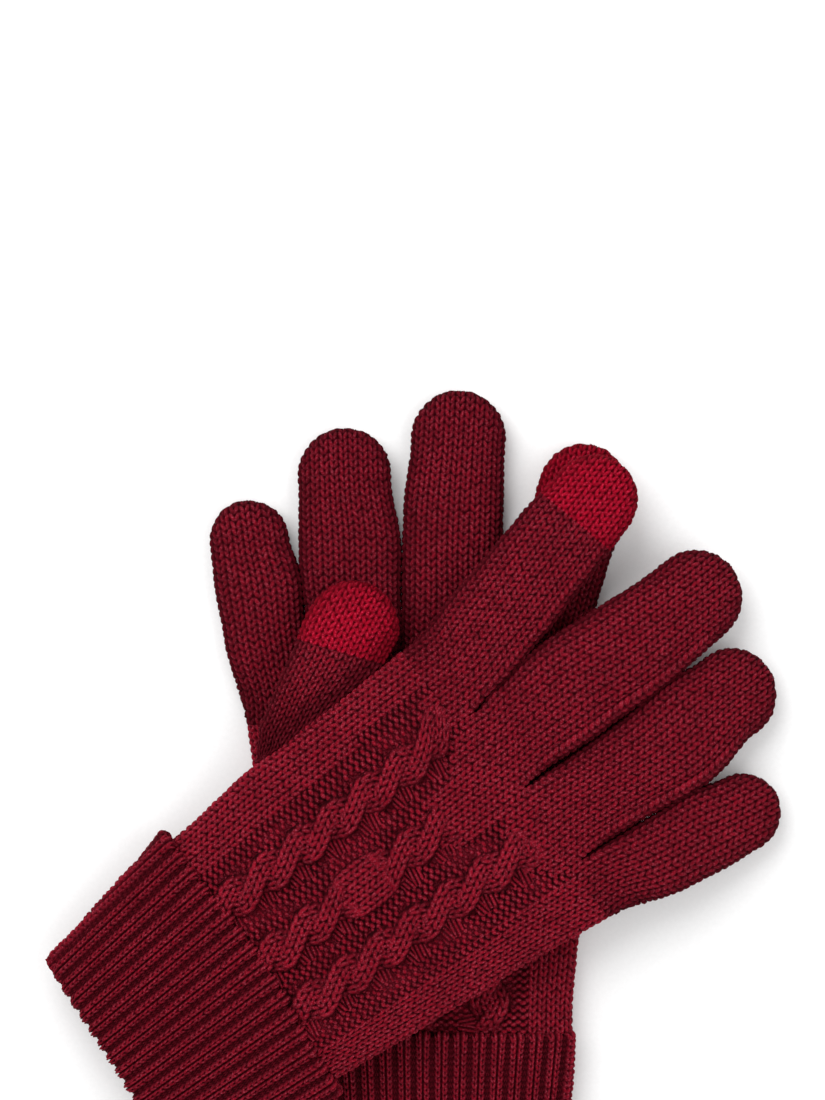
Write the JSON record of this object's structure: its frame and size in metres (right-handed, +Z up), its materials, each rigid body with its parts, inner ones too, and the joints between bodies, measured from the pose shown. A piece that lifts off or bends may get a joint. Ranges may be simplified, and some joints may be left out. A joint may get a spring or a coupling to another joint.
{
  "type": "pair of knitted gloves",
  "caption": "Pair of cable-knit gloves with turned-up ribbed cuffs and touch-screen fingertips, laid flat one across the other.",
  "frame": {"origin": "on the table, under the middle of the left glove's palm", "axes": "+Y along the left glove from its wrist to its middle finger, +Z up off the table, +X to the left glove's thumb side"},
  "size_m": [0.2037, 0.2169, 0.0307],
  "materials": {
    "wool_yarn": "heathered burgundy stockinette and cables in a soft two-ply yarn",
    "rib_yarn": "heathered burgundy two-by-two rib",
    "touch_yarn": "bright red conductive yarn in fine stockinette"
  },
  "bodies": {
    "left_hand": {"left_hand": "wool_yarn", "left_cuff": "rib_yarn"},
    "left_thumb": {"left_thumb": "wool_yarn", "left_thumb_tip": "touch_yarn"},
    "left_index_finger": {"left_index_finger": "wool_yarn", "left_index_tip": "touch_yarn"},
    "left_middle_finger": {"left_middle_finger": "wool_yarn"},
    "left_ring_finger": {"left_ring_finger": "wool_yarn"},
    "left_little_finger": {"left_little_finger": "wool_yarn"},
    "left_turnup": {"left_turnup": "rib_yarn"},
    "right_hand": {"right_hand": "wool_yarn", "right_cuff": "rib_yarn"},
    "right_thumb": {"right_thumb": "wool_yarn", "right_thumb_tip": "touch_yarn"},
    "right_index_finger": {"right_index_finger": "wool_yarn", "right_index_tip": "touch_yarn"},
    "right_middle_finger": {"right_middle_finger": "wool_yarn"},
    "right_ring_finger": {"right_ring_finger": "wool_yarn"},
    "right_little_finger": {"right_little_finger": "wool_yarn"},
    "right_turnup": {"right_turnup": "rib_yarn"}
  },
  "joints": [
    {"name": "right_glove_lift", "type": "slide", "parent": "left_hand", "child": "right_hand", "axis": [0, 0, 1], "range_m": [0, 0.06]},
    {"name": "left_index_fold", "type": "hinge", "parent": "left_hand", "child": "left_index_finger", "pos_m": [0.0287, 0.0452, -0.0005], "axis": [-1, 0, 0], "range_deg": [0, 70]},
    {"name": "left_middle_fold", "type": "hinge", "parent": "left_hand", "child": "left_middle_finger", "pos_m": [0.0038, 0.0452, -0.0005], "axis": [-1, 0, 0], "range_deg": [0, 70]},
    {"name": "left_ring_fold", "type": "hinge", "parent": "left_hand", "child": "left_ring_finger", "pos_m": [-0.0208, 0.0452, -0.0005], "axis": [-1, 0, 0], "range_deg": [0, 70]},
    {"name": "left_little_fold", "type": "hinge", "parent": "left_hand", "child": "left_little_finger", "pos_m": [-0.0428, 0.0452, -0.0005], "axis": [-1, 0, 0], "range_deg": [0, 70]},
    {"name": "left_thumb_fold", "type": "hinge", "parent": "left_hand", "child": "left_thumb", "pos_m": [0.0416, 0.015, -0.0005], "axis": [0, 1, 0], "range_deg": [0, 70]},
    {"name": "left_cuff_unfold", "type": "slide", "parent": "left_hand", "child": "left_turnup", "axis": [0, -1, 0], "range_m": [0, 0.045]},
    {"name": "right_index_fold", "type": "hinge", "parent": "right_hand", "child": "right_index_finger", "pos_m": [0.00481, 0.05345, 0.0231], "axis": [0.6157, -0.788, 0], "range_deg": [0, 70]},
    {"name": "right_middle_fold", "type": "hinge", "parent": "right_hand", "child": "right_middle_finger", "pos_m": [0.02014, 0.03383, 0.0231], "axis": [0.6157, -0.788, 0], "range_deg": [0, 70]},
    {"name": "right_ring_fold", "type": "hinge", "parent": "right_hand", "child": "right_ring_finger", "pos_m": [0.03528, 0.01444, 0.0231], "axis": [0.6157, -0.788, 0], "range_deg": [0, 70]},
    {"name": "right_little_fold", "type": "hinge", "parent": "right_hand", "child": "right_little_finger", "pos_m": [0.04883, -0.00289, 0.0231], "axis": [0.6157, -0.788, 0], "range_deg": [0, 70]},
    {"name": "right_thumb_fold", "type": "hinge", "parent": "right_hand", "child": "right_thumb", "pos_m": [-0.02693, 0.04502, 0.0231], "axis": [0.788, 0.6157, 0], "range_deg": [0, 70]},
    {"name": "right_cuff_unfold", "type": "slide", "parent": "right_hand", "child": "right_turnup", "axis": [-0.7866, -0.6146, -0.0599], "range_m": [0, 0.045]}
  ]
}
